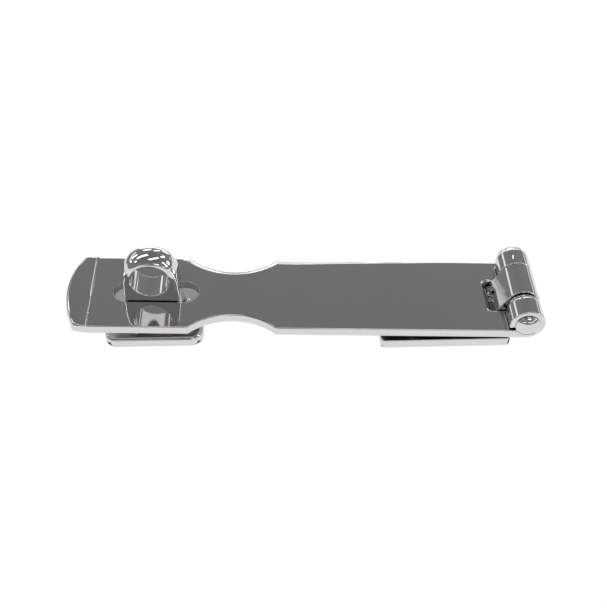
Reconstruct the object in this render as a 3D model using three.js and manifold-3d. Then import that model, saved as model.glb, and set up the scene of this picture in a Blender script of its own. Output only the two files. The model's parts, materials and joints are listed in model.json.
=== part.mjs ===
// Hasp and staple: a slotted strap on a hinge leaf, its riveted hinge pin, and a cast eye staple.
// Millimetres, +Z up. The origin is the centre of the hinge leaf's underside, the strap runs
// towards -X and lies over the leaf and the staple, and the hinge axis is parallel to Y.
import * as THREE from 'three';
import { mergeVertices } from 'three/addons/utils/BufferGeometryUtils.js';
import Module from 'manifold-3d';

const wasm = await Module();
wasm.setup();

// Driving dimensions
const sheet = 2.4;
const width = 25;
const arcSegments = 16;
const edgeSegments = 4;
const slack = 1;

// Hinge: two outer knuckles on the strap, one middle knuckle on the leaf
const barrelRadius = 4.4;
const boreRadius = barrelRadius - sheet;
const pinRadius = boreRadius - 0.1;
const hingeX = 19.75;
const hingeZ = sheet + 0.2 + barrelRadius;
const middleHalf = 5.15;
const knuckleGap = 0.3;
const seamGap = 0.35;

// Pin heads: a short rim under a round dome
const headRadius = 3.15;
const headRim = 0.15;
const headDome = 1.5;
const headGap = 0.05;

// Strap, measured along it from the hinge axis
const strapLength = 114.5;
const restAngle = THREE.MathUtils.degToRad(2.5);
const notchDepth = 8.4;
const notchCorner = 1.3;
const neckMiddle = 72.7;
const neckHalfLength = 10.75;
const neckHalfWidth = 8.05;
const slotNear = 81.2;
const slotFar = 102.7;
const slotHalfWidth = 3.8;
const creaseAt = 108.25;
const tipAngle = THREE.MathUtils.degToRad(10.5);
const tipRadius = 27;

// Hinge leaf
const leafLength = 32.6;
const leafCorner = 1.4;
const rampStart = 8.5;
const rampBend = 1.2;
const leafScrew = { x: [-10.6, 4.4], y: 6.9, holeRadius: 2.1, sinkRadius: 3.6 };

// Staple: a base plate and an eye cast in one
const stapleX = -72.95;
const baseLength = 24.8;
const baseWidth = 21.2;
const baseThickness = 2.8;
const baseCorner = 3.2;
const baseEdge = 1.1;
const eyeThickness = 6.95;
const eyeTop = 22.4;
const eyeHoleZ = 15.7;
const eyeHoleRadius = 4.75;
const eyeHalfWidth = 6.7;
const eyeDraft = 0.06;
const eyeEdge = 0.8;
const eyeCrownRise = 1.9;
const eyeCrownPower = 2.3;
const eyeRootFillet = 2.4;
const stapleScrew = { x: [-4.4, 4.4], y: 6.5, holeRadius: 1.2, sinkRadius: 2.05 };

// Turns a closed geometry into a solid that can be joined and cut.
function toSolid(geometry) {
  const bare = geometry.index ? geometry.toNonIndexed() : geometry.clone();
  bare.deleteAttribute('normal');
  bare.deleteAttribute('uv');
  const merged = mergeVertices(bare, 1e-4);
  const corners = merged.index.array;
  const kept = [];
  for (let i = 0; i < corners.length; i += 3) {
    const [a, b, c] = [corners[i], corners[i + 1], corners[i + 2]];
    if (a !== b && b !== c && c !== a) {
      kept.push(a, b, c);
    }
  }
  return new wasm.Manifold(new wasm.Mesh({
    numProp: 3,
    vertProperties: new Float32Array(merged.attributes.position.array),
    triVerts: new Uint32Array(kept),
  }));
}

// Turns a solid into a named mesh.
function toMesh(name, solid, material) {
  const { vertProperties, triVerts } = solid.getMesh();
  const geometry = new THREE.BufferGeometry();
  geometry.setAttribute('position', new THREE.BufferAttribute(new Float32Array(vertProperties), 3));
  geometry.setIndex(new THREE.BufferAttribute(new Uint32Array(triVerts), 1));
  geometry.computeVertexNormals();
  const mesh = new THREE.Mesh(geometry, material);
  mesh.name = name;
  return mesh;
}

// An outline in the XY plane, made into a solid between two heights.
function uprightPrism(outline, low, high) {
  const settings = { depth: high - low, bevelEnabled: false, curveSegments: arcSegments };
  return toSolid(new THREE.ExtrudeGeometry(outline, settings).translate(0, 0, low));
}

// An outline in the XZ plane, drawn about the point x, z and made into a solid centred on Y, with
// its long edges rounded by edge.
function sidewaysPrism(outline, thickness, { edge = 0, x = 0, z = 0 } = {}) {
  const geometry = new THREE.ExtrudeGeometry(outline, {
    depth: thickness - 2 * edge,
    bevelEnabled: edge > 0,
    bevelThickness: edge,
    bevelSize: edge,
    bevelOffset: -edge,
    bevelSegments: edgeSegments,
    curveSegments: arcSegments,
  });
  geometry.rotateX(Math.PI / 2);
  geometry.translate(x, thickness / 2 - edge, z);
  return toSolid(geometry);
}

function roundedRectangle(length, breadth, corner) {
  const [x, y] = [length / 2 - corner, breadth / 2 - corner];
  const outline = new THREE.Shape();
  outline.absarc(x, y, corner, 0, Math.PI / 2, false);
  outline.absarc(-x, y, corner, Math.PI / 2, Math.PI, false);
  outline.absarc(-x, -y, corner, Math.PI, 1.5 * Math.PI, false);
  outline.absarc(x, -y, corner, 1.5 * Math.PI, 2 * Math.PI, false);
  outline.closePath();
  return outline;
}

// A countersunk screw hole through a plate whose top is at the height given.
function screwHole(x, y, top, { holeRadius, sinkRadius }) {
  const sinkDepth = sinkRadius - holeRadius;
  const profile = [
    new THREE.Vector2(0, -slack),
    new THREE.Vector2(holeRadius, -slack),
    new THREE.Vector2(holeRadius, top - sinkDepth),
    new THREE.Vector2(sinkRadius, top),
    new THREE.Vector2(sinkRadius, top + slack),
    new THREE.Vector2(0, top + slack),
  ];
  const geometry = new THREE.LatheGeometry(profile, 2 * arcSegments);
  geometry.rotateX(Math.PI / 2);
  geometry.translate(x, y, 0);
  return toSolid(geometry);
}

function drillScrewHoles(solid, top, screw) {
  let drilled = solid;
  for (const x of screw.x) {
    for (const y of [-screw.y, screw.y]) {
      drilled = drilled.subtract(screwHole(x, y, top, screw));
    }
  }
  return drilled;
}

// The strap's side view, with the hinge axis at 0, 0: flat, creased up near the tip, and curled
// round the pin until its end nearly meets the flat again.
function strapSideView() {
  const [top, bottom] = [-boreRadius, -barrelRadius];
  const curlEnd = Math.PI + Math.asin((boreRadius - seamGap) / barrelRadius);
  const tipRun = strapLength - creaseAt + slack;
  const crease = new THREE.Vector2(-creaseAt, top);
  const tipTop = new THREE.Vector2(-Math.cos(tipAngle), Math.sin(tipAngle)).multiplyScalar(tipRun).add(crease);
  const outline = new THREE.Shape();
  outline.moveTo(0, bottom);
  outline.absarc(0, 0, barrelRadius, -Math.PI / 2, curlEnd, false);
  outline.absarc(0, 0, boreRadius, curlEnd, -Math.PI / 2, true);
  outline.lineTo(crease.x, crease.y);
  outline.lineTo(tipTop.x, tipTop.y);
  outline.lineTo(tipTop.x - sheet * Math.sin(tipAngle), tipTop.y - sheet * Math.cos(tipAngle));
  outline.lineTo(-creaseAt - sheet * Math.tan(tipAngle / 2), bottom);
  outline.closePath();
  return outline;
}

// The strap seen from above: a notch for the middle knuckle, a neck between two arcs, a slot
// with round ends, and a tip that is one shallow arc.
function strapPlan() {
  const half = width / 2;
  const right = barrelRadius + slack;
  const notchHalf = middleHalf + knuckleGap;
  const neckRise = half - neckHalfWidth;
  const neckRadius = (neckHalfLength ** 2 + neckRise ** 2) / (2 * neckRise);
  const neckSweep = Math.asin(neckHalfLength / neckRadius);
  const neckY = neckHalfWidth + neckRadius;
  const tipSweep = Math.asin(half / tipRadius);
  const notchX = -notchDepth + notchCorner;
  const notchY = notchHalf - notchCorner;
  const outline = new THREE.Shape();
  outline.moveTo(right, -half);
  outline.lineTo(right, -notchHalf);
  outline.absarc(notchX, -notchY, notchCorner, 1.5 * Math.PI, Math.PI, true);
  outline.absarc(notchX, notchY, notchCorner, Math.PI, Math.PI / 2, true);
  outline.lineTo(right, notchHalf);
  outline.lineTo(right, half);
  outline.absarc(-neckMiddle, neckY, neckRadius, neckSweep - Math.PI / 2, -neckSweep - Math.PI / 2, true);
  outline.absarc(tipRadius - strapLength, 0, tipRadius, Math.PI - tipSweep, Math.PI + tipSweep, false);
  outline.absarc(-neckMiddle, -neckY, neckRadius, neckSweep + Math.PI / 2, Math.PI / 2 - neckSweep, true);
  outline.closePath();

  const slot = new THREE.Path();
  const [slotLeft, slotRight] = [slotHalfWidth - slotFar, -slotNear - slotHalfWidth];
  slot.absarc(slotRight, 0, slotHalfWidth, Math.PI / 2, -Math.PI / 2, true);
  slot.absarc(slotLeft, 0, slotHalfWidth, -Math.PI / 2, -1.5 * Math.PI, true);
  slot.closePath();
  outline.holes.push(slot);
  return outline;
}

function makeStrap() {
  const side = sidewaysPrism(strapSideView(), width + 2 * slack);
  return side.intersect(uprightPrism(strapPlan(), -barrelRadius - slack, barrelRadius + slack));
}

// The leaf's tongue from the side, with the hinge axis at 0, 0: it bends up off the leaf, ramps
// to the barrel and curls over the pin until its end nearly meets the ramp's underside.
function tongueSideView() {
  const [top, bottom] = [sheet - hingeZ, -hingeZ];
  const bend = new THREE.Vector2(-rampStart, top + rampBend);
  const slope = Math.asin((rampBend + barrelRadius) / bend.length()) + Math.atan2(bend.y, bend.x) + Math.PI;
  const tangent = slope + Math.PI / 2;
  const curlEnd = tangent + Math.acos((boreRadius - seamGap) / barrelRadius) - 2 * Math.PI;
  const outline = new THREE.Shape();
  outline.moveTo(bend.x - slack, bottom);
  outline.absarc(bend.x, bend.y, rampBend + sheet, -Math.PI / 2, slope - Math.PI / 2, false);
  outline.absarc(0, 0, boreRadius, tangent, curlEnd, true);
  outline.absarc(0, 0, barrelRadius, curlEnd, tangent, false);
  outline.absarc(bend.x, bend.y, rampBend, slope - Math.PI / 2, -Math.PI / 2, true);
  outline.lineTo(bend.x - slack, top);
  outline.closePath();
  return outline;
}

function makeLeaf() {
  const plate = uprightPrism(roundedRectangle(leafLength, width, leafCorner), 0, sheet);
  const gapHalf = middleHalf + knuckleGap;
  const gapLeft = hingeX - rampStart;
  const gap = new THREE.Shape();
  gap.moveTo(gapLeft, -gapHalf);
  gap.lineTo(leafLength / 2 + slack, -gapHalf);
  gap.lineTo(leafLength / 2 + slack, gapHalf);
  gap.lineTo(gapLeft, gapHalf);
  gap.closePath();
  const tongue = sidewaysPrism(tongueSideView(), 2 * middleHalf, { x: hingeX, z: hingeZ });
  const leaf = plate.subtract(uprightPrism(gap, -slack, sheet + slack)).add(tongue);
  return drillScrewHoles(leaf, sheet, leafScrew);
}

// The pin: a plain shaft with the same domed head riveted on each end.
function makePin() {
  const headFoot = width / 2 + headGap;
  const domeRadius = (headRadius ** 2 + headDome ** 2) / (2 * headDome);
  const domeCentre = headFoot + headRim + headDome - domeRadius;
  const domeSweep = Math.asin(headRadius / domeRadius);
  const domeSteps = 8;
  const upperHalf = [new THREE.Vector2(pinRadius, headFoot), new THREE.Vector2(headRadius, headFoot)];
  for (let i = 0; i <= domeSteps; i += 1) {
    const angle = domeSweep * (1 - i / domeSteps);
    upperHalf.push(new THREE.Vector2(domeRadius * Math.sin(angle), domeCentre + domeRadius * Math.cos(angle)));
  }
  const lowerHalf = upperHalf.map((point) => new THREE.Vector2(point.x, -point.y)).reverse();
  return toSolid(new THREE.LatheGeometry([...lowerHalf, ...upperHalf], 2 * arcSegments));
}

// The eye seen from the front: drafted sides that flare into the base, under an arched crown.
function eyeFrontView() {
  const crownHeight = eyeTop - eyeHoleZ;
  const crownSteps = 20;
  const sideAt = (z) => eyeHalfWidth + eyeDraft * (eyeHoleZ - z);
  const filletTop = baseThickness + eyeRootFillet;
  const foot = sideAt(baseThickness) + eyeRootFillet;
  const outline = new THREE.Shape();
  outline.moveTo(-foot, slack);
  outline.lineTo(foot, slack);
  outline.lineTo(foot, baseThickness);
  outline.quadraticCurveTo(sideAt(baseThickness), baseThickness, sideAt(filletTop), filletTop);
  for (let i = 0; i <= crownSteps; i += 1) {
    const angle = Math.PI * i / crownSteps;
    const across = Math.sign(Math.cos(angle)) * Math.abs(Math.cos(angle)) ** (2 / eyeCrownPower);
    const up = Math.sin(angle) ** (2 / eyeCrownPower);
    outline.lineTo(eyeHalfWidth * across, eyeHoleZ + crownHeight * up);
  }
  outline.lineTo(-sideAt(filletTop), filletTop);
  outline.quadraticCurveTo(-sideAt(baseThickness), baseThickness, -foot, baseThickness);
  outline.closePath();
  return outline;
}

// The eye seen from its edge, Y across and Z up, under a flattened round top.
function crownEndView() {
  const half = eyeThickness / 2;
  const outline = new THREE.Shape();
  outline.moveTo(-half, 0);
  outline.lineTo(half, 0);
  outline.absellipse(0, eyeTop - eyeCrownRise, half, eyeCrownRise, 0, Math.PI, false, 0);
  outline.closePath();
  return outline;
}

function makeStaple() {
  const base = toSolid(new THREE.ExtrudeGeometry(roundedRectangle(baseLength, baseWidth, baseCorner), {
    depth: baseThickness - 2 * baseEdge,
    bevelThickness: baseEdge,
    bevelSize: baseEdge,
    bevelOffset: -baseEdge,
    bevelSegments: edgeSegments,
    curveSegments: arcSegments / 2,
  }).translate(0, 0, baseEdge));
  const crownGeometry = new THREE.ExtrudeGeometry(crownEndView(), {
    depth: baseLength,
    bevelEnabled: false,
    curveSegments: arcSegments / 2,
  });
  crownGeometry.rotateX(Math.PI / 2).rotateZ(Math.PI / 2).translate(-baseLength / 2, 0, 0);
  const hole = new THREE.CylinderGeometry(eyeHoleRadius, eyeHoleRadius, eyeThickness + slack, 2 * arcSegments);
  const eye = sidewaysPrism(eyeFrontView(), eyeThickness, { edge: eyeEdge })
    .intersect(toSolid(crownGeometry))
    .subtract(toSolid(hole.translate(0, 0, eyeHoleZ)));
  return drillScrewHoles(base.add(eye), baseThickness, stapleScrew);
}

const polished = { color: 0x8c8b88, metalness: 1, roughness: 0.08 };
const strapMaterial = new THREE.MeshStandardMaterial(polished);
const leafMaterial = new THREE.MeshStandardMaterial(polished);
const pinMaterial = new THREE.MeshStandardMaterial({ color: 0xb4b3b0, metalness: 1, roughness: 0.14 });
const stapleMaterial = new THREE.MeshStandardMaterial({ color: 0x8f8e8b, metalness: 1, roughness: 0.1 });

const staple = toMesh('staple', makeStaple(), stapleMaterial);
staple.position.set(stapleX, 0, 0);

const swing = new THREE.Group();
swing.position.set(hingeX, 0, hingeZ);
swing.rotation.y = restAngle;
swing.add(toMesh('strap', makeStrap(), strapMaterial));
swing.add(toMesh('hinge_pin', makePin(), pinMaterial));

const hasp = new THREE.Group();
hasp.add(toMesh('hinge_leaf', makeLeaf(), leafMaterial));
hasp.add(swing);
hasp.add(staple);

export default hasp;
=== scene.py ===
"""Hasp and staple: fine meshes, chrome finishes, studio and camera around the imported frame.

Lengths are in millimetres until a mesh is made, and then in metres, in the frame's own axes:
+Z up, the strap runs towards -X, and the hinge axis is parallel to Y.
"""

import json
import math

import bpy
import numpy as np
from mathutils import Matrix, Vector
from mathutils.geometry import delaunay_2d_cdt


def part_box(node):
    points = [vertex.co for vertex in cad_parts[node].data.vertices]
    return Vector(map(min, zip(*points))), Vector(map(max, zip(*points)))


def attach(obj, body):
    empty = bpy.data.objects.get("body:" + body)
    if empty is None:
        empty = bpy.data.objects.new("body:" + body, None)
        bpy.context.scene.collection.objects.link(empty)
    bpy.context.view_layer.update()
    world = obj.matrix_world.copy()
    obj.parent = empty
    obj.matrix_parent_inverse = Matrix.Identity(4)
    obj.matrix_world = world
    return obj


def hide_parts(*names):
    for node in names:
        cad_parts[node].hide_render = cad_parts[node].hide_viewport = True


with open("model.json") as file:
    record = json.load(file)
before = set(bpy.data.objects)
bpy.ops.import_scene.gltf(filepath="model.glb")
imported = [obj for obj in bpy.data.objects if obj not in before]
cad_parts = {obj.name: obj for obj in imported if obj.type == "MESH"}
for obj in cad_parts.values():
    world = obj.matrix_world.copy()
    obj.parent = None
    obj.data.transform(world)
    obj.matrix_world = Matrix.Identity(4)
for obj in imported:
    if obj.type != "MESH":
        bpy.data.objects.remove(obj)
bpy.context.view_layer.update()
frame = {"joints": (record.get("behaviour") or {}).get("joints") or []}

MM = 0.001
JOINTS = {joint["name"]: joint for joint in frame["joints"]}


def box_mm(node):
    low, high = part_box(node)
    return np.array(low) / MM, np.array(high) / MM


# Driving dimensions, from the frame where it has them
HINGE = np.array(JOINTS["strap_hinge"]["pos_m"]) / MM
LEAF_LOW, LEAF_HIGH = box_mm("hinge_leaf")
STAPLE_LOW, STAPLE_HIGH = box_mm("staple")
PIN_HIGH = box_mm("hinge_pin")[1]
SHEET = 2.4
HALF_WIDTH = 12.5
BARREL = LEAF_HIGH[0] - HINGE[0]
BORE = BARREL - SHEET
MIDDLE = (BARREL + BORE) / 2
MIDDLE_HALF = 5.15
KNUCKLE_GAP = 0.3
SEAM_GAP = 0.35
REST_TILT = math.radians(2.5)


# ---------------------------------------------------------------- camera

CAMERA_AZIMUTH = math.radians(-1.144)
CAMERA_ELEVATION = math.radians(44.474)
CAMERA_ROLL = math.radians(-0.314)
CAMERA_TARGET = Vector((-35.17, 0.59, 3.0)) * MM
CAMERA_DISTANCE = 254.9 * MM
CAMERA_LENS = 58.64


def make_camera():
    data = bpy.data.cameras.new("camera")
    data.lens = CAMERA_LENS
    data.sensor_width = 36
    data.clip_start = 0.01
    data.clip_end = 20
    camera = bpy.data.objects.new("camera", data)
    bpy.context.scene.collection.objects.link(camera)
    azimuth, elevation = CAMERA_AZIMUTH, CAMERA_ELEVATION
    back = Vector((math.sin(azimuth) * math.cos(elevation),
                   -math.cos(azimuth) * math.cos(elevation),
                   math.sin(elevation)))
    turn = back.to_track_quat("Z", "Y").to_matrix().to_4x4() @ Matrix.Rotation(CAMERA_ROLL, 4, "Z")
    camera.matrix_world = Matrix.Translation(CAMERA_TARGET + back * CAMERA_DISTANCE) @ turn
    bpy.context.scene.camera = camera


make_camera()


# ---------------------------------------------------------------- outlines

def line(start, end, step=0.4):
    count = max(2, int(math.dist(start, end) / step) + 1)
    return np.linspace(start, end, count)


def arc(centre, radius, start, end, step=0.3):
    """Points on a circle from one angle to another, in degrees, counterclockwise if end is larger."""
    sweep = math.radians(end - start)
    count = max(4, int(abs(sweep) * radius / step) + 1)
    angles = math.radians(start) + np.linspace(0, 1, count) * sweep
    return np.array(centre) + radius * np.column_stack([np.cos(angles), np.sin(angles)])


def evenly(points, step):
    """The same open line with evenly spaced points."""
    along = np.append(0, np.cumsum(np.linalg.norm(np.diff(points, axis=0), axis=1)))
    where = np.linspace(0, along[-1], int(along[-1] / step) + 1)
    return np.column_stack([np.interp(where, along, points[:, axis]) for axis in (0, 1)])


def closed_loop(*stretches, step=0.3, soften=0.4):
    """Joins stretches into one evenly spaced closed loop, its corners rounded over a short reach."""
    points = np.vstack(stretches)
    points = np.vstack([points, points[:1]])
    lengths = np.linalg.norm(np.diff(points, axis=0), axis=1)
    keep = np.append(True, lengths > 1e-6)
    points = points[keep]
    along = np.append(0, np.cumsum(np.linalg.norm(np.diff(points, axis=0), axis=1)))
    count = int(along[-1] / step)
    where = np.linspace(0, along[-1], count, endpoint=False)
    even = np.column_stack([np.interp(where, along, points[:, axis]) for axis in (0, 1)])
    spacing = along[-1] / count
    reach = int(3 * soften / spacing) + 1
    offsets = np.arange(-reach, reach + 1)
    weights = np.exp(-0.5 * (offsets * spacing / soften) ** 2)
    weights /= weights.sum()
    return sum(weight * np.roll(even, -offset, axis=0) for weight, offset in zip(weights, offsets))


def outward_normals(loop):
    """Unit normals on the side away from the material, which lies left of the loop's direction."""
    tangent = np.roll(loop, -1, axis=0) - np.roll(loop, 1, axis=0)
    tangent /= np.linalg.norm(tangent, axis=1, keepdims=True)
    return np.column_stack([tangent[:, 1], -tangent[:, 0]])


def convex_radius(loop):
    """The radius of the tightest outward bend near each loop point."""
    edge = np.roll(loop, -1, axis=0) - loop
    length = np.linalg.norm(edge, axis=1)
    heading = np.arctan2(edge[:, 1], edge[:, 0])
    turn = heading - np.roll(heading, 1)
    turn = (turn + math.pi) % (2 * math.pi) - math.pi
    bend = np.maximum(turn, 1e-6) / ((length + np.roll(length, 1)) / 2)
    tightest = np.max([np.roll(bend, shift) for shift in range(-4, 5)], axis=0)
    smoothed = np.mean([np.roll(tightest, shift) for shift in range(-3, 4)], axis=0)
    return 1 / smoothed


def inside(points, loop):
    """True for each point inside the closed loop."""
    x, y = points[:, :1], points[:, 1:]
    x0, y0 = loop[:, 0], loop[:, 1]
    x1, y1 = np.roll(x0, -1), np.roll(y0, -1)
    spans = (y0 > y) != (y1 > y)
    with np.errstate(divide="ignore", invalid="ignore"):
        crossing = x0 + (y - y0) * (x1 - x0) / (y1 - y0)
    return (spans & (x < crossing)).sum(axis=1) % 2 == 1


def nearest(points, loop):
    """The distance from each point to the loop, and the index of the loop's nearest point."""
    distances = np.empty(len(points))
    indices = np.empty(len(points), int)
    for start in range(0, len(points), 2000):
        chunk = points[start:start + 2000]
        gaps = np.linalg.norm(chunk[:, None, :] - loop[None, :, :], axis=2)
        indices[start:start + 2000] = gaps.argmin(axis=1)
        distances[start:start + 2000] = gaps.min(axis=1)
    return distances, indices


def smooth_step(value, low, high):
    share = np.clip((value - low) / (high - low), 0, 1)
    return share * share * (3 - 2 * share)


# ---------------------------------------------------------------- surfaces

class Surface:
    """Vertices with their own normals, and faces with a finish number, for one closed mesh."""

    def __init__(self):
        self.points = []
        self.normals = []
        self.faces = []
        self.finishes = []

    def add(self, points, normals):
        start = len(self.points)
        self.points.extend(np.asarray(points, float))
        self.normals.extend(np.asarray(normals, float))
        return list(range(start, len(self.points)))

    def face(self, corners, finish):
        self.faces.append(corners)
        self.finishes.append(finish)

    def bridge(self, upper, lower, finish=0):
        """Quads between two closed rings of the same length, the upper one on the outer face's left."""
        count = len(upper)
        for i in range(count):
            j = (i + 1) % count
            self.face((upper[j], upper[i], lower[i], lower[j]), finish)

    def make(self, name, finishes, body, node):
        points = np.array(self.points) * MM
        normals = np.array(self.normals)
        normals /= np.linalg.norm(normals, axis=1, keepdims=True)
        mesh = bpy.data.meshes.new(name)
        mesh.from_pydata([tuple(p) for p in points], [], self.faces)
        mesh.polygons.foreach_set("use_smooth", [True] * len(mesh.polygons))
        for finish in finishes:
            mesh.materials.append(finish)
        mesh.polygons.foreach_set("material_index", self.finishes)
        mesh.update()
        mesh.normals_split_custom_set_from_vertices([tuple(n) for n in normals])
        piece = bpy.data.objects.new(name, mesh)
        bpy.context.scene.collection.objects.link(piece)
        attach(piece, body)
        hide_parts(node)


def fill(loops, extra):
    """Triangles of the flat region inside the first loop and outside the others, through extra points.

    Corners are numbered along the loops in order, then along the extra points, and turn counterclockwise.
    """
    points = np.vstack([*loops, extra]) if len(extra) else np.vstack(loops)
    edges = []
    start = 0
    for loop in loops:
        count = len(loop)
        edges += [(start + i, start + (i + 1) % count) for i in range(count)]
        start += count
    made, _, faces, sources, _, _ = delaunay_2d_cdt([Vector(p) for p in points], edges, [], 0, 1e-7)
    triangles = np.array([[sources[corner][0] for corner in face] for face in faces])
    centres = points[triangles].mean(axis=1)
    kept = inside(centres, loops[0])
    for hole in loops[1:]:
        kept &= ~inside(centres, hole)
    triangles = triangles[kept]
    a, b, c = (points[triangles[:, k]] for k in range(3))
    area = (b[:, 0] - a[:, 0]) * (c[:, 1] - a[:, 1]) - (b[:, 1] - a[:, 1]) * (c[:, 0] - a[:, 0])
    triangles[area < 0] = triangles[area < 0][:, ::-1]
    return triangles


def clear_points(points, loops, clearance):
    """The points that lie inside the first loop, outside the others, and clear of all of them."""
    kept = inside(points, loops[0])
    for hole in loops[1:]:
        kept &= ~inside(points, hole)
    points = points[kept]
    for loop in loops:
        gap, _ = nearest(points, loop)
        points = points[gap > clearance]
    return points


class Edge:
    """How a sheet's edge runs from its top face to its bottom face along one loop.

    Each ring is (inset from the loop, height above the sheet's middle, share of the outward normal,
    share of the upward normal). Insets and heights are one number or one per loop point. finish is
    the number of the edge's finish: 0 is the polished one, 1 the unpolished one, whose darker colour
    is painted shade.
    """

    def __init__(self, loop, rings, finish=0):
        self.loop = loop
        self.rings = rings
        self.finish = finish
        self.normals = outward_normals(loop)

    def ring_loop(self, number):
        return self.loop - self.normals * np.broadcast_to(self.rings[number][0], len(self.loop))[:, None]


def rounded_edge(loop, top, bottom, thickness=SHEET, steps=5, finish=0):
    """A plain edge with its own radius at the top and at the bottom, as one number or one per point."""
    tightest = 0.75 * convex_radius(loop)
    top, bottom = np.minimum(top, tightest), np.minimum(bottom, tightest)
    rings = []
    for i in range(steps + 1):
        angle = math.pi / 2 * (1 - i / steps)
        rings.append((top * (1 - math.cos(angle)), thickness / 2 - top * (1 - math.sin(angle)),
                      math.cos(angle), math.sin(angle)))
    for i in range(steps + 1):
        angle = -math.pi / 2 * i / steps
        rings.append((bottom * (1 - math.cos(angle)), -thickness / 2 + bottom * (1 + math.sin(angle)),
                      math.cos(angle), math.sin(angle)))
    return Edge(loop, rings, finish)


def screw_edge(x, y, hole, sink, thickness):
    """A countersunk hole with slightly rounded rims, as an edge round its own circle."""
    soft = 0.12
    circle = arc((x, y), hole, 360, 0, 0.25)[:-1]
    top, bottom = thickness / 2, -thickness / 2
    diagonal = math.sqrt(0.5)
    depth = sink - hole
    rings = [
        (depth + soft, top, 0, 1),
        (depth + 0.3 * soft, top - 0.25 * soft, 0.38, 0.92),
        (depth - 0.6 * soft, top - 0.8 * soft, diagonal, diagonal),
        (0.6 * soft, top - depth + 0.4 * soft, diagonal, diagonal),
        (0, top - depth - soft, 1, 0),
        (0, bottom + soft, 1, 0),
        (0.3 * soft, bottom + 0.3 * soft, diagonal, -diagonal),
        (soft, bottom, 0, -1),
    ]
    return Edge(circle, rings)


def tilt(direction, flat, relief, share):
    """Leans normals by the slope of the relief under them."""
    step = 0.02
    slope_s = (relief(flat + [step, 0]) - relief(flat - [step, 0])) / (2 * step)
    slope_v = (relief(flat + [0, step]) - relief(flat - [0, step])) / (2 * step)
    leaned = direction.copy()
    leaned[:, 0] -= slope_s * share
    leaned[:, 1] -= slope_v * share
    return leaned / np.linalg.norm(leaned, axis=1, keepdims=True)


def flat_relief(flat):
    return np.zeros(len(flat))


def sheet_surface(surface, edges, bend, relief, extra_top, extra_bottom, thickness=SHEET, stud=None,
                  sag=flat_relief, satin_and_shade_end=1000):
    """Adds a bent sheet to a surface.

    edges: the outer edge first, then the holes. bend: maps flat points, heights and normals to space.
    relief and sag: height above flat of the top and of the bottom face. extra: more points on each.
    stud: a flat loop, and its vertices in the surface, where something else stands on the top face.
    satin_and_shade_end: the bottom face has the unpolished finish, whose darker colour is painted
    shade, as far as this distance along the sheet.
    """
    top_ids, bottom_ids = [], []
    for edge in edges:
        ids = []
        lift, drop = relief(edge.ring_loop(0)), sag(edge.ring_loop(-1))
        for number, (_, height, out, up) in enumerate(edge.rings):
            flat = edge.ring_loop(number)
            height = np.broadcast_to(height, len(flat)).astype(float)
            share = np.clip((height + thickness / 2) / thickness, 0, 1)
            direction = np.column_stack([edge.normals * out, np.full(len(flat), float(up))])
            direction = tilt(direction, flat, relief if up > 0 else sag, up)
            ids.append(surface.add(*bend(flat, height + lift * share + drop * (1 - share), direction)))
        for upper, lower in zip(ids, ids[1:]):
            surface.bridge(upper, lower, edge.finish)
        top_ids += ids[0]
        bottom_ids += ids[-1]
    top_loops = [edge.ring_loop(0) for edge in edges]
    bottom_loops = [edge.ring_loop(-1) for edge in edges]
    if stud:
        top_loops.append(stud[0])
        top_ids += stud[1]
    extra_top = clear_points(extra_top, top_loops, 0.12)
    extra_bottom = clear_points(extra_bottom, bottom_loops, 0.12)
    up = np.tile([0.0, 0.0, 1.0], (len(extra_top), 1))
    height = thickness / 2 + relief(extra_top)
    top_ids += surface.add(*bend(extra_top, height, tilt(up, extra_top, relief, 1)))
    down = np.tile([0.0, 0.0, -1.0], (len(extra_bottom), 1))
    height = sag(extra_bottom) - thickness / 2
    bottom_ids += surface.add(*bend(extra_bottom, height, tilt(down, extra_bottom, sag, -1)))
    for a, b, c in fill(top_loops, extra_top):
        surface.face((top_ids[a], top_ids[b], top_ids[c]), 0)
    bottom_flat = np.vstack([*bottom_loops, extra_bottom])
    for a, b, c in fill(bottom_loops, extra_bottom):
        shaded_satin = max(bottom_flat[[a, b, c], 0]) < satin_and_shade_end
        surface.face((bottom_ids[c], bottom_ids[b], bottom_ids[a]), int(shaded_satin))


class Path:
    """A sheet's middle line in its side view: straight and round stretches, one after another."""

    def __init__(self, start, heading, stretches, first_s):
        self.pieces = []
        position, angle, s = np.array(start, float), heading, first_s
        for length, curvature in stretches:
            self.pieces.append((s, position.copy(), angle, curvature))
            position, angle = self._advance(position, angle, curvature, length)
            s += length

    @staticmethod
    def _advance(position, angle, curvature, length):
        if abs(curvature) < 1e-9:
            return position + length * np.array([math.cos(angle), math.sin(angle)]), angle
        turned = angle + curvature * length
        shift = np.array([math.sin(turned) - math.sin(angle), math.cos(angle) - math.cos(turned)])
        return position + shift / curvature, turned

    def at(self, s):
        """Positions and headings at each distance s along the middle line."""
        place = np.empty((len(s), 2))
        heading = np.empty(len(s))
        starts = [piece[0] for piece in self.pieces]
        which = np.clip(np.searchsorted(starts, s, side="right") - 1, 0, len(starts) - 1)
        for number, (start, position, angle, curvature) in enumerate(self.pieces):
            here = which == number
            run = s[here] - start
            if abs(curvature) < 1e-9:
                turned = np.full(len(run), angle)
                shift = np.outer(run, [math.cos(angle), math.sin(angle)])
            else:
                turned = angle + curvature * run
                shift = np.column_stack([np.sin(turned) - math.sin(angle),
                                         math.cos(angle) - np.cos(turned)]) / curvature
            place[here] = position + shift
            heading[here] = turned
        return place, heading


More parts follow.
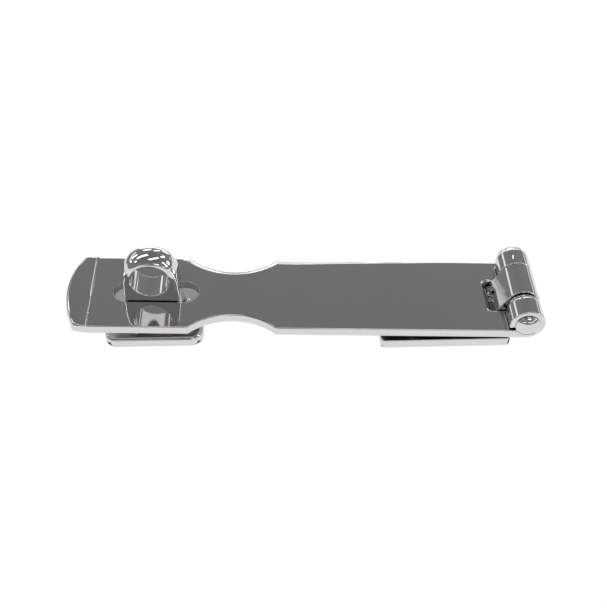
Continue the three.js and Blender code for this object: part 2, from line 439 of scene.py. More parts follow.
def bend_along(path, origin, turn=0.0):
    """A bend that follows a path drawn about the hinge axis, then turns about that axis."""

    def bend(flat, height, normals):
        place, heading = path.at(flat[:, 0])
        along = np.column_stack([np.cos(heading), np.sin(heading)])
        above = np.column_stack([-np.sin(heading), np.cos(heading)])
        xz = place + above * np.asarray(height)[:, None]
        nxz = along * normals[:, :1] + above * normals[:, 2:]
        c, s = math.cos(turn), math.sin(turn)
        points = np.column_stack([c * xz[:, 0] + s * xz[:, 1], flat[:, 1], -s * xz[:, 0] + c * xz[:, 1]])
        turned = np.column_stack([c * nxz[:, 0] + s * nxz[:, 1], normals[:, 1],
                                  -s * nxz[:, 0] + c * nxz[:, 1]])
        return points + origin, turned

    return bend


def rows_between(s_values, v_values):
    s, v = np.meshgrid(s_values, v_values, indexing="ij")
    return np.column_stack([s.ravel(), v.ravel()])


# ---------------------------------------------------------------- finishes

CHROME = (0.72, 0.715, 0.70, 1)
# The unpolished underside's colour: rough for real, and darker as painted shade under the strap and in its
# slot
CAST_AND_SHADE = (0.50, 0.495, 0.485, 1)


def socket_value(node, name, value):
    node.inputs[name].default_value = value


def metal(name, colour, roughness, ripple, scratch, pits):
    """Plated metal: uneven polish, faint orange peel, fine scratches and small pits."""
    material = bpy.data.materials.new(name)
    material.use_nodes = True
    nodes, links = material.node_tree.nodes, material.node_tree.links
    shader = nodes["Principled BSDF"]
    socket_value(shader, "Metallic", 1.0)
    coords = nodes.new("ShaderNodeTexCoord").outputs["Object"]

    def noise(scale, detail, coordinates=coords):
        node = nodes.new("ShaderNodeTexNoise")
        socket_value(node, "Scale", scale)
        socket_value(node, "Detail", detail)
        links.new(coordinates, node.inputs["Vector"])
        return node.outputs["Fac"]

    def ranged(source, from_low, from_high, to_low, to_high):
        node = nodes.new("ShaderNodeMapRange")
        for label, value in (("From Min", from_low), ("From Max", from_high),
                             ("To Min", to_low), ("To Max", to_high)):
            socket_value(node, label, value)
        links.new(source, node.inputs["Value"])
        return node.outputs["Result"]

    def stretched(scale):
        node = nodes.new("ShaderNodeMapping")
        socket_value(node, "Scale", scale)
        links.new(coords, node.inputs["Vector"])
        return node.outputs["Vector"]

    tint = nodes.new("ShaderNodeMix")
    tint.data_type = "RGBA"
    links.new(noise(90, 3), tint.inputs["Factor"])
    tint.inputs["A"].default_value = tuple(0.97 * c for c in colour[:3]) + (1,)
    tint.inputs["B"].default_value = tuple(min(1, 1.03 * c) for c in colour[:3]) + (1,)
    links.new(tint.outputs["Result"], shader.inputs["Base Color"])
    links.new(ranged(noise(260, 5), 0.35, 0.75, roughness, 1.8 * roughness), shader.inputs["Roughness"])

    height = nodes.new("ShaderNodeMath")
    height.operation = "ADD"
    peel = ranged(noise(350, 2), 0, 1, 0, ripple)
    lines = ranged(noise(600, 2, stretched((0.12, 2.5, 1.0))), 0.62, 0.8, 0, -scratch)
    links.new(peel, height.inputs[0])
    links.new(lines, height.inputs[1])
    spots = nodes.new("ShaderNodeMath")
    spots.operation = "ADD"
    links.new(height.outputs[0], spots.inputs[0])
    links.new(ranged(noise(1500, 1), 0.74, 0.82, 0, -pits), spots.inputs[1])
    bump = nodes.new("ShaderNodeBump")
    socket_value(bump, "Strength", 1.0)
    socket_value(bump, "Distance", MM)
    links.new(spots.outputs[0], bump.inputs["Height"])
    links.new(bump.outputs["Normal"], shader.inputs["Normal"])
    return material


def make_finishes():
    return {
        "strap": metal("strap_chrome", CHROME, 0.035, 0.002, 0.001, 0.004),
        "leaf": metal("leaf_chrome", CHROME, 0.05, 0.004, 0.001, 0.004),
        "pin": metal("pin_chrome", CHROME, 0.06, 0.006, 0.002, 0.005),
        "staple": metal("staple_chrome", CHROME, 0.04, 0.006, 0.001, 0.005),
        # Unpolished underside and slot walls: the roughness is real, the darker colour is painted shade
        "back": metal("unpolished_back_and_shade", CAST_AND_SHADE, 0.28, 0.02, 0.006, 0.01),
    }


FINISHES = make_finishes()


# ---------------------------------------------------------------- strap

STRAP_LENGTH = 114.4
NOTCH_DEPTH = 8.4
NOTCH_CORNER = 1.3
NECK_MIDDLE = 72.7
NECK_HALF_LENGTH = 10.75
NECK_HALF_WIDTH = 8.05
SLOT_NEAR = 81.2
SLOT_FAR = 102.7
SLOT_HALF = 3.8
CREASE_AT = 108.25
CREASE_RADIUS = 3.0
TIP_ANGLE = math.radians(10.5)
TIP_RADIUS = 27.0
END_CORNER = 0.35
KNUCKLE_REARS = (HALF_WIDTH, -MIDDLE_HALF - KNUCKLE_GAP)
ROLL_WIDTH = 2.1
ROLL_SHARES = np.arange(0.2, 1.05, 0.1)
# How wide the rear edge's roll-over is at each distance from the hinge
REAR_ROLL_AT = (12, 20, 33, 44, 56, 84, 87, 109, 112)
REAR_ROLL_WIDTH = (0.05, 0.4, 0.8, 1.2, 1.7, 1.7, 0.1, 0.1, 0.7)
FRONT_ROLL_AT = (109, 112)
FRONT_ROLL_WIDTH = (0.05, 0.7)
NOTCH_ROLL_WIDTH = 0.6
SLOT_ROLL_WIDTH = 0.35
EDGE_RADIUS = 0.28
TIP_EDGE_RADIUS = 0.63
SLOT_EDGE_TOP = 0.15
SLOT_EDGE_BOTTOM = 0.2
CREASE_BEAD = 0.55
CREASE_SPREAD = 0.36
CREASE_FRONT_SPREAD = 0.2
TIP_RUN = 20
# The strap's underside has the unpolished finish, whose darker colour is painted shade, as far as this point
# along the strap; the curl round the pin stays polished
UNPOLISHED_AND_SHADE_END = -1.5
DENT_AT = (10.7, 9.2)
DENT_SIZE = (0.26, 1.05)
DENT_DEPTH = 0.2


def curl_sweep(beyond):
    """How far a knuckle curls, in radians, from its tangent point until its end nearly closes."""
    return beyond + math.asin((BORE - SEAM_GAP) / BARREL)


def strap_outline():
    """The strap's blank, laid flat: 0 is under the hinge axis and the tip is at -STRAP_LENGTH."""
    end = curl_sweep(1.5 * math.pi) * MIDDLE
    notch = MIDDLE_HALF + KNUCKLE_GAP
    rise = HALF_WIDTH - NECK_HALF_WIDTH
    radius = (NECK_HALF_LENGTH ** 2 + rise ** 2) / (2 * rise)
    sweep = math.degrees(math.asin(NECK_HALF_LENGTH / radius))
    neck_y = NECK_HALF_WIDTH + radius
    tip = math.degrees(math.asin(HALF_WIDTH / TIP_RADIUS))
    near, far = -NECK_MIDDLE + NECK_HALF_LENGTH, -NECK_MIDDLE - NECK_HALF_LENGTH
    tip_x = TIP_RADIUS - STRAP_LENGTH
    corner_x = tip_x - TIP_RADIUS * math.cos(math.radians(tip))
    half, inner = HALF_WIDTH, -NOTCH_DEPTH + NOTCH_CORNER
    side, corner = notch - NOTCH_CORNER, END_CORNER
    return closed_loop(
        arc((end - corner, corner - half), corner, 270, 360),
        line((end, corner - half), (end, -notch)),
        line((end, -notch), (inner, -notch)),
        arc((inner, -side), NOTCH_CORNER, 270, 180),
        arc((inner, side), NOTCH_CORNER, 180, 90),
        line((inner, notch), (end, notch)),
        line((end, notch), (end, half - corner)),
        arc((end - corner, half - corner), corner, 0, 90),
        line((end - corner, half), (near, half)),
        arc((-NECK_MIDDLE, neck_y), radius, sweep - 90, -sweep - 90),
        line((far, half), (corner_x, half)),
        arc((tip_x, 0), TIP_RADIUS, 180 - tip, 180 + tip),
        line((corner_x, -half), (far, -half)),
        arc((-NECK_MIDDLE, -neck_y), radius, sweep + 90, 90 - sweep),
        line((near, -half), (end - corner, -half)),
    )


def strap_slot():
    left, right = SLOT_HALF - SLOT_FAR, -SLOT_NEAR - SLOT_HALF
    return closed_loop(
        line((left, SLOT_HALF), (right, SLOT_HALF)),
        arc((right, 0), SLOT_HALF, 90, -90),
        line((right, -SLOT_HALF), (left, -SLOT_HALF)),
        arc((left, 0), SLOT_HALF, -90, -270),
        soften=0.1,
    )


def roll_over(distance, width, steepest=0.45):
    """How far a punched edge sags below the flat, at each distance from the edge.

    It is steepest halfway out and levels off again in a narrow rim. Narrow roll-overs are shallower.
    """
    share = np.linspace(0, 1, 80)
    slope = steepest * smooth_step(1 - share, 0, 0.45) * (1 - 0.92 * smooth_step(1 - share, 0.64, 0.82))
    drop = np.cumsum(slope[::-1])[::-1] * (share[1] - share[0])
    depth = width * smooth_step(width, 0.2, 0.7)
    return -depth * np.interp(distance / np.maximum(width, 1e-6), share, drop, right=0)


def knuckle_sag(flat):
    """How far the barrel's outside falls in towards each knuckle's rear rim, and at one shallow dent."""
    along, across = flat[:, 0], flat[:, 1]
    rear = np.where(across > 0, KNUCKLE_REARS[0], KNUCKLE_REARS[1])
    roll = -roll_over(rear - across, np.full(len(flat), ROLL_WIDTH)) * smooth_step(along, 1, 4)
    dent_along, dent_across = (along - DENT_AT[0]) / DENT_SIZE[0], (across - DENT_AT[1]) / DENT_SIZE[1]
    return roll + DENT_DEPTH * np.exp(-0.5 * (dent_along ** 2 + dent_across ** 2))


def strap_roll_widths(outline):
    """The roll-over's width at each point of the outline: wide at the rear, the tip and the notch."""
    along, across = -outline[:, 0], outline[:, 1]
    rear_width = np.interp(along, REAR_ROLL_AT, REAR_ROLL_WIDTH)
    front_width = np.interp(along, FRONT_ROLL_AT, FRONT_ROLL_WIDTH)
    in_notch = smooth_step(along, 5, 7) * (1 - smooth_step(along, 8.6, 9)) * (np.abs(across) < 6)
    return np.where(across > 0, rear_width, front_width) + NOTCH_ROLL_WIDTH * in_notch


def crease_bead(flat):
    """The raised line along the crease, full at the rear and worn into beads at the front."""
    across = flat[:, 1]
    grain = 0.5 + 0.3 * np.sin(2.1 * across) + 0.2 * np.sin(5.3 * across + 1)
    front = smooth_step(-across, -1, 2)
    bead = CREASE_BEAD * (1 - front * (0.3 + 0.5 * grain))
    spread = CREASE_SPREAD - (CREASE_SPREAD - CREASE_FRONT_SPREAD) * front
    return bead * np.exp(-((flat[:, 0] + CREASE_AT) / spread) ** 2)


def strap_path():
    """The strap's middle line: the raised tip, the crease, the flat and the curl round the pin."""
    crease_arc = CREASE_RADIUS * TIP_ANGLE
    crease_end = -CREASE_AT - crease_arc / 2
    start_x = crease_end - TIP_RUN * math.cos(TIP_ANGLE)
    start_z = -MIDDLE + TIP_RUN * math.sin(TIP_ANGLE) + CREASE_RADIUS * (1 - math.cos(TIP_ANGLE))
    flat_run = CREASE_AT - crease_arc / 2
    stretches = [(TIP_RUN, 0), (crease_arc, 1 / CREASE_RADIUS), (flat_run, 0), (40, 1 / MIDDLE)]
    return Path((start_x, start_z), -TIP_ANGLE, stretches, crease_end - TIP_RUN)


def roll_points(loop, widths):
    """Rows of points across the roll-over along a loop, where it is wide enough to need them."""
    normals = outward_normals(loop)
    rows = []
    for share in ROLL_SHARES:
        reach = widths * share
        band = loop - normals * reach[:, None]
        wide = widths > 0.3
        gap, _ = nearest(band[wide], loop)
        rows.append(band[wide][gap > 0.93 * reach[wide]])
    return np.vstack(rows)


def make_strap():
    outline, slot = strap_outline(), strap_slot()
    widths = strap_roll_widths(outline)
    slot_widths = np.full(len(slot), SLOT_ROLL_WIDTH)

    def relief(flat):
        gap, where = nearest(flat, outline)
        slot_gap, slot_where = nearest(flat, slot)
        rolled = roll_over(gap, widths[where]) + roll_over(slot_gap, slot_widths[slot_where])
        return rolled + crease_bead(flat)

    at_tip = smooth_step(-outline[:, 0], 109, 112)
    top_radius = EDGE_RADIUS + (TIP_EDGE_RADIUS - EDGE_RADIUS) * at_tip
    edges = [
        rounded_edge(outline, top_radius, EDGE_RADIUS),
        # The slot's walls take the unpolished finish, whose darker colour is painted shade inside the slot
        rounded_edge(slot, SLOT_EDGE_TOP, SLOT_EDGE_BOTTOM, finish=1),
    ]
    curl = rows_between(np.arange(0, 16, 0.22), np.arange(-12.2, 12.3, 0.7))
    crease = rows_between(-CREASE_AT + np.linspace(-0.9, 0.9, 19), np.arange(-12.3, 12.4, 0.45))
    grid = rows_between(np.arange(-113, 0, 3.0), np.arange(-12, 12.5, 2.4))
    extra_top = np.vstack([curl, crease, grid, roll_points(outline, widths), roll_points(slot, slot_widths)])
    rims = [rear - share * ROLL_WIDTH for rear in KNUCKLE_REARS for share in ROLL_SHARES]
    rolled_rims = rows_between(np.arange(1, 16, 0.22), rims)
    extra_bottom = np.vstack([curl, grid, crease[::3], rolled_rims])
    surface = Surface()
    sheet_surface(surface, edges, bend_along(strap_path(), HINGE, REST_TILT), relief, extra_top,
                  extra_bottom, sag=knuckle_sag, satin_and_shade_end=UNPOLISHED_AND_SHADE_END)
    finishes = [FINISHES["strap"], FINISHES["back"]]
    surface.make("strap_body", finishes, "strap", "strap")


# ---------------------------------------------------------------- hinge leaf

LEAF_CORNER = 1.4
RAMP_START = 8.5
RAMP_BEND = 1.2
LEAF_SCREWS = [(x - HINGE[0], y) for x in (-10.6, 4.4) for y in (-6.9, 6.9)]
LEAF_SCREW_HOLE = 2.1
LEAF_SCREW_SINK = 3.6


def make_leaf():
    left, right = LEAF_LOW[0] - HINGE[0], -LEAF_LOW[0] - HINGE[0]
    top = SHEET - HINGE[2]
    bend_x, bend_z = -RAMP_START, top + RAMP_BEND
    reach = math.hypot(bend_x, bend_z)
    slope = math.asin((RAMP_BEND + BARREL) / reach) + math.atan2(bend_z, bend_x) + math.pi
    ramp = math.sqrt(reach ** 2 - (RAMP_BEND + BARREL) ** 2)
    turn = RAMP_BEND + SHEET / 2
    curl = 2 * math.pi - math.acos((BORE - SEAM_GAP) / BARREL)
    end = bend_x + turn * slope + ramp + MIDDLE * curl
    half, slit, tongue = HALF_WIDTH, MIDDLE_HALF + KNUCKLE_GAP, MIDDLE_HALF
    root = bend_x - 0.6
    corner = LEAF_CORNER
    outline = closed_loop(
        line((left + corner, -half), (right - corner, -half)),
        arc((right - corner, -half + corner), corner, 270, 360),
        line((right, -half + corner), (right, -slit)),
        line((right, -slit), (root, -slit)),
        line((root, -slit), (root, -tongue)),
        line((root, -tongue), (end, -tongue)),
        line((end, -tongue), (end, tongue)),
        line((end, tongue), (root, tongue)),
        line((root, tongue), (root, slit)),
        line((root, slit), (right, slit)),
        line((right, slit), (right, half - corner)),
        arc((right - corner, half - corner), corner, 0, 90),
        line((right - corner, half), (left + corner, half)),
        arc((left + corner, half - corner), corner, 90, 180),
        line((left, half - corner), (left, -half + corner)),
        arc((left + corner, -half + corner), corner, 180, 270),
        step=0.15, soften=0.18,
    )
    on_tongue = (np.abs(outline[:, 1]) < tongue + 0.05) & (outline[:, 0] > root + 0.1)
    flat_path = Path((left - 5, top - SHEET / 2), 0, [(200, 0)], left - 5)
    tongue_path = Path((left - 5, top - SHEET / 2), 0,
                       [(bend_x - left + 5, 0), (turn * slope, 1 / turn), (ramp, 0), (60, -1 / MIDDLE)],
                       left - 5)
    flat_bend = bend_along(flat_path, HINGE)
    tongue_bend = bend_along(tongue_path, HINGE)

    def bend(flat, height, normals):
        height = np.broadcast_to(height, len(flat))
        middle = np.abs(flat[:, 1]) < (tongue + slit) / 2
        points, turned = flat_bend(flat, height, normals)
        bent, bent_normals = tongue_bend(flat, height, normals)
        points[middle], turned[middle] = bent[middle], bent_normals[middle]
        return points, turned

    top_radius = np.where(on_tongue, 0.12, 0.3)
    edges = [rounded_edge(outline, top_radius, np.full(len(outline), 0.12))]
    edges += [screw_edge(x, y, LEAF_SCREW_HOLE, LEAF_SCREW_SINK, SHEET) for x, y in LEAF_SCREWS]
    rows = np.concatenate([bend_x + np.linspace(0, turn * slope, 10),
                           bend_x + turn * slope + ramp + np.arange(0, MIDDLE * curl, 0.22)])
    extra = rows_between(rows, np.arange(-5.0, 5.01, 0.7))
    surface = Surface()
    sheet_surface(surface, edges, bend, flat_relief, extra, extra)
    finishes = [FINISHES["leaf"], FINISHES["back"]]
    surface.make("hinge_leaf_body", finishes, "leaf", "hinge_leaf")


# ---------------------------------------------------------------- hinge pin

PIN_CLEARANCE = 0.1
HEAD_RADIUS = 3.15
DOME_STEPS = 18
PIN_SEGMENTS = 96


def make_pin():
    """A turned shaft with a round rivet head on each end."""
    shaft, head, rim_radius = BORE - PIN_CLEARANCE, HEAD_RADIUS, 0.2
    foot = HALF_WIDTH + 0.05
    top = PIN_HIGH[1]
    rim = foot + 0.2
    rise = top - rim
    dome = (head ** 2 + rise ** 2) / (2 * rise)
    sweep = math.asin((head - rim_radius) / dome)
    profile = [(shaft, 1, 1, 0), (shaft, foot - 0.1, 1, 0), (shaft + 0.1, foot, 0.7, -0.7)]
    profile += [(head - 0.15, foot, 0, -1), (head, foot + 0.12, 1, 0), (head, rim - 0.05, 1, 0)]
    for i in range(DOME_STEPS):
        angle = sweep * (1 - i / DOME_STEPS)
        profile.append((dome * math.sin(angle), top - dome + dome * math.cos(angle),
                        math.sin(angle), math.cos(angle)))
    count = PIN_SEGMENTS
    angles = np.linspace(0, 2 * math.pi, count, endpoint=False)
    round_x, round_z, level = np.cos(angles), np.sin(angles), np.ones(count)
    surface = Surface()
    rings = []
    for mirror in (-1, 1):
        side = []
        for radius, y, out, up in profile:
            points = np.column_stack([radius * round_x, mirror * y * level, radius * round_z])
            normals = np.column_stack([out * round_x, mirror * up * level, out * round_z])
            side.append(surface.add(points + HINGE, normals))
        tip = surface.add([HINGE + [0, mirror * top, 0]], [[0, mirror, 0]])[0]
        rings.append((side, tip))
    (low, low_tip), (high, high_tip) = rings
    surface.bridge(low[0], high[0])
    for upper, lower in zip(high, high[1:]):
        surface.bridge(upper, lower)
    for upper, lower in zip(low, low[1:]):
        surface.bridge(lower, upper)
    for i in range(count):
        j = (i + 1) % count
        surface.face((high[-1][j], high[-1][i], high_tip), 0)
        surface.face((low[-1][i], low[-1][j], low_tip), 0)
    surface.make("hinge_pin_body", [FINISHES["pin"]], "strap", "hinge_pin")


# ---------------------------------------------------------------- staple

STAPLE_X = (STAPLE_LOW[0] + STAPLE_HIGH[0]) / 2
BASE_LENGTH, BASE_WIDTH = (STAPLE_HIGH - STAPLE_LOW)[:2]
BASE_THICKNESS = 2.8
BASE_CORNER = 3.2
BASE_TOP_EDGE = 1.1
BASE_BOTTOM_EDGE = 0.45
STAPLE_SCREWS = [(x, y) for x in (-4.4, 4.4) for y in (-6.5, 6.5)]
STAPLE_SCREW_HOLE = 1.2
STAPLE_SCREW_SINK = 2.05
EYE_HALF_THICKNESS = 3.475
EYE_HALF_WIDTH = 6.7
EYE_DRAFT = 0.06
EYE_TOP = STAPLE_HIGH[2]
EYE_HOLE_Z = 15.7
EYE_HOLE_RADIUS = 4.75
EYE_HOLE_RIM = 0.3
EYE_EDGE = 0.85
EYE_CROWN_RISE = 1.9
EYE_CROWN_POWER = 2.3
# Half the width of the level line along the top of the crown
EYE_RIDGE = 0.02
EYE_JOIN_Z = 9.8
ROOT_FILLET_SIDE = 2.1
ROOT_FILLET_FRONT = 0.5


def eye_half_width(z):
    return EYE_HALF_WIDTH + EYE_DRAFT * np.maximum(EYE_HOLE_Z - z, 0)


def eye_outline():
    """The eye from the front, up its right side, over the crown and down its left side."""
    rise = np.linspace(EYE_JOIN_Z, EYE_HOLE_Z, 20)[:-1]
    right = np.column_stack([eye_half_width(rise), rise])
    angle = np.linspace(0, math.pi, 181)
    power = 2 / EYE_CROWN_POWER
    across = np.sign(np.cos(angle)) * np.abs(np.cos(angle)) ** power
    up = np.maximum(np.sin(angle), 0) ** power
    crown = np.column_stack([EYE_HALF_WIDTH * across, EYE_HOLE_Z + (EYE_TOP - EYE_HOLE_Z) * up])
    return evenly(np.vstack([right, crown, right[::-1] * [-1, 1]]), 0.25)


def make_eye(surface, centre):
    """Adds the eye, all but its foot. Returns the ring where it meets its foot, with its normals.

    The eye's surface is a chain of rings round its hole, from the front face's edge to the back's.
    """
    outline = eye_outline()
    tangent = np.gradient(outline, axis=0)
    tangent /= np.linalg.norm(tangent, axis=1, keepdims=True)
    out = np.column_stack([tangent[:, 1], -tangent[:, 0]])
    hole = np.array([0, EYE_HOLE_Z])
    spare = np.linalg.norm(outline - hole, axis=1) - EYE_HOLE_RADIUS - EYE_HOLE_RIM - 0.05
    crown = smooth_step(outline[:, 1], 14.5, 20)
    depth = EYE_EDGE + (EYE_CROWN_RISE - EYE_EDGE) * crown
    width = EYE_EDGE + (EYE_HALF_THICKNESS - EYE_RIDGE - EYE_EDGE) * crown
    steepest = np.arccos(1 - np.clip(spare / depth, 0, 1))

    def place(xz, y):
        return np.column_stack([xz[:, 0], np.broadcast_to(y, len(xz)), xz[:, 1]]) + centre

    def facing(xz, y):
        return np.column_stack([xz[:, 0], np.broadcast_to(y, len(xz)), xz[:, 1]])

    def shares_at(angle):
        """The outward and forward shares of the normal on the rounded edge's ellipse."""
        outward, forward = np.cos(angle) / depth, np.sin(angle) / width
        length = np.hypot(outward, forward)
        return outward / length, forward / length

    steps = 16
    rows = []
    for side in (-1, 1):
        shares = np.linspace(1, 0, steps + 1)
        for share in shares if side < 0 else shares[::-1]:
            angle = steepest * share
            inset = depth * (1 - np.cos(angle))
            y = side * (EYE_HALF_THICKNESS - width * (1 - np.sin(angle)))
            outward, forward = shares_at(angle)
            points = place(outline - out * inset[:, None], y)
            normals = facing(out * outward[:, None], side * forward)
            rows.append(surface.add(points, normals))
    for front, back in zip(rows, rows[1:]):
        for i in range(len(outline) - 1):
            surface.face((front[i], back[i], back[i + 1], front[i + 1]), 0)

    foot_half = outline[0, 0] - depth[0]
    middle = np.linspace(-foot_half, foot_half, 26)[1:-1]
    bottom = np.column_stack([middle, np.full(len(middle), EYE_JOIN_Z)])
    front_bottom = surface.add(place(bottom, -EYE_HALF_THICKNESS), facing(0 * bottom, -1))
    back_bottom = surface.add(place(bottom, EYE_HALF_THICKNESS), facing(0 * bottom, 1))

    rim_inset = depth * (1 - np.cos(steepest))
    frame_loop = np.vstack([bottom, outline - out * rim_inset[:, None]])
    face_y = np.append(np.full(len(bottom), EYE_HALF_THICKNESS),
                       EYE_HALF_THICKNESS - width * (1 - np.sin(steepest)))
    outward, forward = shares_at(steepest)
    lean = np.vstack([0 * bottom, out * outward[:, None]])
    ahead = np.append(np.ones(len(bottom)), forward)
    spoke = frame_loop - hole
    reach = np.linalg.norm(spoke, axis=1)
    spoke = spoke / reach[:, None]
    rim_start = EYE_HOLE_RADIUS + EYE_HOLE_RIM

    def half_chain(side, first):
        chain = [first]
        for share in (0.35, 0.7, 1):
            distance = reach + (rim_start - reach) * share
            chain.append(surface.add(place(hole + spoke * distance[:, None], side * face_y),
                                     facing(lean, side * ahead)))
        for angle in np.radians([22.5, 45, 67.5, 90]):
            distance = EYE_HOLE_RADIUS + EYE_HOLE_RIM * (1 - math.sin(angle))
            y = side * (face_y - EYE_HOLE_RIM * (1 - math.cos(angle)))
            normal = facing(lean * math.cos(angle) - spoke * math.sin(angle), side * ahead * math.cos(angle))
            chain.append(surface.add(place(hole + spoke * distance, y), normal))
        return chain

    front = half_chain(-1, front_bottom + rows[0])
    back = half_chain(1, back_bottom + rows[-1])
    chain = front + back[::-1]
    for outer, inner in zip(chain, chain[1:]):
        surface.bridge(inner, outer)

    last = len(outline) - 1
    ring = [rows[0][last]] + front_bottom
    ring += [row[0] for row in rows]
    ring += back_bottom[::-1]
    ring += [row[last] for row in rows[::-1]][:-1]
    return ring


def make_foot(surface, centre, ring):
    """Lofts the eye's lowest ring down into a fillet on the base. Returns the fillet's flat edge."""
    start = np.array([surface.points[i] for i in ring]) - centre
    across = np.array([surface.normals[i] for i in ring])[:, :2]
    across /= np.linalg.norm(across, axis=1, keepdims=True)
    start_width = eye_half_width(EYE_JOIN_Z)
    fillet = ROOT_FILLET_FRONT + (ROOT_FILLET_SIDE - ROOT_FILLET_FRONT) * across[:, 0] ** 2
    spread = across * [ROOT_FILLET_SIDE, ROOT_FILLET_FRONT]
    levels = [(90, 0.5), (90, 0)] + [(angle, 0) for angle in np.linspace(84, 0, 15)]
    upper = ring
    for degrees, share in levels:
        angle = math.radians(degrees)
        z = BASE_THICKNESS + fillet * (1 - math.cos(angle))
        z = z + share * (EYE_JOIN_Z - z)
        x = start[:, 0] * eye_half_width(z) / start_width
        flat = np.column_stack([x, start[:, 1]]) + spread * (1 - math.sin(angle))
        normals = np.column_stack([across * math.sin(angle), np.full(len(ring), math.cos(angle))])
        lower = surface.add(np.column_stack([flat, z]) + centre, normals)
        surface.bridge(upper, lower)
        upper = lower
    return flat, upper


def make_staple():
    surface = Surface()
    centre = np.array([STAPLE_X, 0, 0])
    stud = make_foot(surface, centre, make_eye(surface, centre))
    x, y, corner = BASE_LENGTH / 2 - BASE_CORNER, BASE_WIDTH / 2 - BASE_CORNER, BASE_CORNER
    outline = closed_loop(
        arc((-x, -y), corner, 180, 270),
        arc((x, -y), corner, 270, 360),
        arc((x, y), corner, 0, 90),
        arc((-x, y), corner, 90, 180),
    )
    edges = [rounded_edge(outline, BASE_TOP_EDGE, BASE_BOTTOM_EDGE, BASE_THICKNESS, 8)]
    for x, y in STAPLE_SCREWS:
        edges.append(screw_edge(x, y, STAPLE_SCREW_HOLE, STAPLE_SCREW_SINK, BASE_THICKNESS))

    def bend(flat, height, normals):
        return np.column_stack([flat, height + BASE_THICKNESS / 2]) + centre, normals

    grid = rows_between(np.arange(-11, 12, 2.0), np.arange(-9, 10, 2.0))
    sheet_surface(surface, edges, bend, flat_relief, grid, grid, BASE_THICKNESS, stud)
    finishes = [FINISHES["staple"], FINISHES["back"]]
    surface.make("staple_body", finishes, "staple", "staple")


make_strap()
make_leaf()
make_pin()
make_staple()


# ---------------------------------------------------------------- studio

FLOOR_SIZE = 6.0
FLOOR_GLOW = 1.13
FLOOR_GLOW_SHARE = 0.86
# Light levels: what the camera sees above the floor, then what the metal reflects
BACKDROP = 1.1
TABLE = 0.93
SKY = 0.235
SKY_TOP = 0.17
# Set by hand, from directions that a separate reflection-tracing program printed.
# Where the dark reaches below the horizon: azimuth, half-widths where it starts and is deepest, depth
DARK_BELOW = [(10, 28, 3, 8), (42, 55, 25, 6), (-42, 24, 8, 13)]
LAMP_TARGET = Vector((-35, 0, 10)) * MM
LAMP_DISTANCE = 1.3
SOFTBOX_LEVEL = 3.0
# The directions, lengths and rolls in this table and of the last three strips were worked out
# from traced reflections, then rounded and adjusted. That separate program also worked out
# the directions, lengths and rolls in this table and of the last three strips.
# Azimuth, elevation, width, height and roll of each softbox, in degrees
SOFTBOXES = [
    (-12, 27, 12, 7, -32),
    (8, 29, 16, 6, -48),
    (20, 12, 8, 7, -65),
    (-48, 58, 30, 9, 23),
    (-52, 30, 19, 7, 34),
    (57, 81, 36, 8, -93),
    (48, 41, 19, 8, -98),
    (-75, 23, 7, 7, 0),
    (-95, 45, 9, 9, 0),
    (75, 18, 14, 15, -98),
    (103, 31, 34, 8, -86),
    (163, 36, 18, 6, 9),
]
# Level, azimuth, elevation, width, height and roll of each weaker strip
STRIPS = [
    (0.9, -50, 16, 34, 8, 0),
    (1.6, 5, 3, 50, 15, 0),
    (0.9, 46, 4, 8, 4, 0),
    (0.9, -160, 13, 22, 7, -19),
    (0.9, 158, 13, 34, 6, 12),
    (0.9, 128, 16, 26, 6, 0),
]


def make_card(name, low, high, z):
    """A level rectangle between two corners, at height z."""
    mesh = bpy.data.meshes.new(name)
    corners = [(low[0], low[1], 0), (high[0], low[1], 0), (high[0], high[1], 0), (low[0], high[1], 0)]
    mesh.from_pydata(corners, [], [(0, 1, 2, 3)])
    card = bpy.data.objects.new(name, mesh)
    card.location.z = z
    bpy.context.scene.collection.objects.link(card)
    return card


def make_floor():
    """Pale paper that is lit evenly where the camera sees it, and that the metal doesn't reflect."""
    half = FLOOR_SIZE / 2
    floor = make_card("floor", (-half, -half), (half, half), -0.2 * MM)
    material = bpy.data.materials.new("floor_paper")
    material.use_nodes = True
    nodes, links = material.node_tree.nodes, material.node_tree.links
    nodes.clear()
    diffuse = nodes.new("ShaderNodeBsdfDiffuse")
    diffuse.inputs["Color"].default_value = (0.9, 0.9, 0.9, 1)
    glow = nodes.new("ShaderNodeEmission")
    glow.inputs["Strength"].default_value = FLOOR_GLOW
    mix = nodes.new("ShaderNodeMixShader")
    lit = nodes.new("ShaderNodeMath")
    lit.operation = "MULTIPLY"
    lit.inputs[1].default_value = FLOOR_GLOW_SHARE
    links.new(nodes.new("ShaderNodeLightPath").outputs["Is Camera Ray"], lit.inputs[0])
    links.new(lit.outputs[0], mix.inputs["Fac"])
    links.new(diffuse.outputs[0], mix.inputs[1])
    links.new(glow.outputs[0], mix.inputs[2])
    output = nodes.new("ShaderNodeOutputMaterial")
    links.new(mix.outputs[0], output.inputs["Surface"])
    floor.data.materials.append(material)
    floor.visible_glossy = False


def make_shade(node):
    """The shadow under a piece that stands on the floor, seen only in the metal."""
    low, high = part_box(node)
    shade = make_card(f"{node}_shade", low, high, -0.1 * MM)
    material = bpy.data.materials.new(f"{node}_shade")
    material.use_nodes = True
    shader = material.node_tree.nodes["Principled BSDF"]
    socket_value(shader, "Base Color", (0.25, 0.25, 0.25, 1))
    socket_value(shader, "Roughness", 0.9)
    shade.data.materials.append(material)
    shade.visible_camera = False
    shade.visible_diffuse = False
    shade.visible_shadow = False


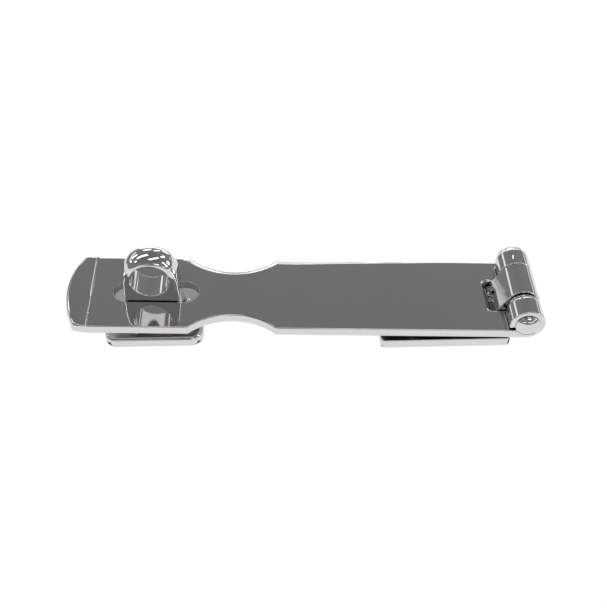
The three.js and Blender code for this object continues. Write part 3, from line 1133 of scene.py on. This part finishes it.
def make_sky():
    """A dark room over a bright table, seen only in the metal: the camera sees a pale backdrop.

    The dark reaches below the horizon behind the object.
    """
    world = bpy.data.worlds.new("studio")
    bpy.context.scene.world = world
    world.use_nodes = True
    nodes, links = world.node_tree.nodes, world.node_tree.links
    nodes.clear()
    towards = nodes.new("ShaderNodeTexCoord").outputs["Generated"]

    def vector_math(operation, first, second):
        node = nodes.new("ShaderNodeVectorMath")
        node.operation = operation
        links.new(first, node.inputs[0])
        if second is not None:
            node.inputs[1].default_value = second
        return node

    def ranged(source, from_low, from_high, to_low, to_high):
        node = nodes.new("ShaderNodeMapRange")
        node.interpolation_type = "SMOOTHSTEP"
        for label, value in (("From Min", from_low), ("From Max", from_high),
                             ("To Min", to_low), ("To Max", to_high)):
            socket_value(node, label, value)
        links.new(source, node.inputs["Value"])
        return node.outputs["Result"]

    def plus(first, second):
        node = nodes.new("ShaderNodeMath")
        node.operation = "ADD"
        links.new(first, node.inputs[0])
        links.new(second, node.inputs[1])
        return node.outputs[0]

    level = vector_math("MULTIPLY", towards, (1, 1, 0)).outputs["Vector"]
    level = vector_math("NORMALIZE", level, None).outputs["Vector"]
    split = nodes.new("ShaderNodeSeparateXYZ")
    links.new(towards, split.inputs[0])
    drop = None
    for azimuth, wide, narrow, depth in DARK_BELOW:
        middle = (math.sin(math.radians(azimuth)), math.cos(math.radians(azimuth)), 0)
        closeness = vector_math("DOT_PRODUCT", level, middle).outputs["Value"]
        closeness = ranged(closeness, math.cos(math.radians(wide)), math.cos(math.radians(narrow)),
                           0, math.sin(math.radians(depth)))
        drop = closeness if drop is None else plus(drop, closeness)
    above = ranged(plus(split.outputs["Z"], drop), -0.035, 0.02, 0, 1)
    dark = ranged(split.outputs["Z"], 0.5, 1, SKY, SKY_TOP)
    mix = nodes.new("ShaderNodeMix")
    links.new(above, mix.inputs["Factor"])
    mix.inputs["A"].default_value = TABLE
    links.new(dark, mix.inputs["B"])
    seen = nodes.new("ShaderNodeMix")
    links.new(nodes.new("ShaderNodeLightPath").outputs["Is Camera Ray"], seen.inputs["Factor"])
    links.new(mix.outputs["Result"], seen.inputs["A"])
    seen.inputs["B"].default_value = BACKDROP
    background = nodes.new("ShaderNodeBackground")
    background.inputs["Color"].default_value = (1, 1, 0.985, 1)
    links.new(seen.outputs["Result"], background.inputs["Strength"])
    output = nodes.new("ShaderNodeOutputWorld")
    links.new(background.outputs[0], output.inputs["Surface"])


def make_lamp(name, azimuth, elevation, width, height, roll, radiance):
    """A rectangular soft light aimed at the object. Azimuth 0 is behind it, towards +Y.

    Sizes are angles seen from the object. roll turns the width up from level, towards larger azimuths.
    """
    data = bpy.data.lights.new(name, "AREA")
    data.shape = "RECTANGLE"
    data.size = 2 * LAMP_DISTANCE * math.tan(math.radians(width / 2))
    data.size_y = 2 * LAMP_DISTANCE * math.tan(math.radians(height / 2))
    data.energy = radiance * math.pi * data.size * data.size_y
    lamp = bpy.data.objects.new(name, data)
    a, e = math.radians(azimuth), math.radians(elevation)
    toward = Vector((math.sin(a) * math.cos(e), math.cos(a) * math.cos(e), math.sin(e)))
    lamp.location = LAMP_TARGET + toward * LAMP_DISTANCE
    lamp.rotation_mode = "QUATERNION"
    turn = Matrix.Rotation(math.radians(-roll), 4, "Z")
    lamp.rotation_quaternion = (toward.to_track_quat("Z", "Y").to_matrix().to_4x4() @ turn).to_quaternion()
    bpy.context.scene.collection.objects.link(lamp)


def make_lamps():
    """Rows of softboxes round the table, and weaker strips low behind and in front of it."""
    for number, lamp in enumerate(SOFTBOXES):
        make_lamp(f"softbox_{number}", *lamp, SOFTBOX_LEVEL)
    for number, (level, *lamp) in enumerate(STRIPS):
        make_lamp(f"strip_{number}", *lamp, level)


def make_studio():
    make_floor()
    make_shade("hinge_leaf")
    make_shade("staple")
    make_sky()
    make_lamps()
    bpy.context.scene.view_settings.view_transform = "Standard"
    bpy.context.scene.view_settings.look = "None"


make_studio()
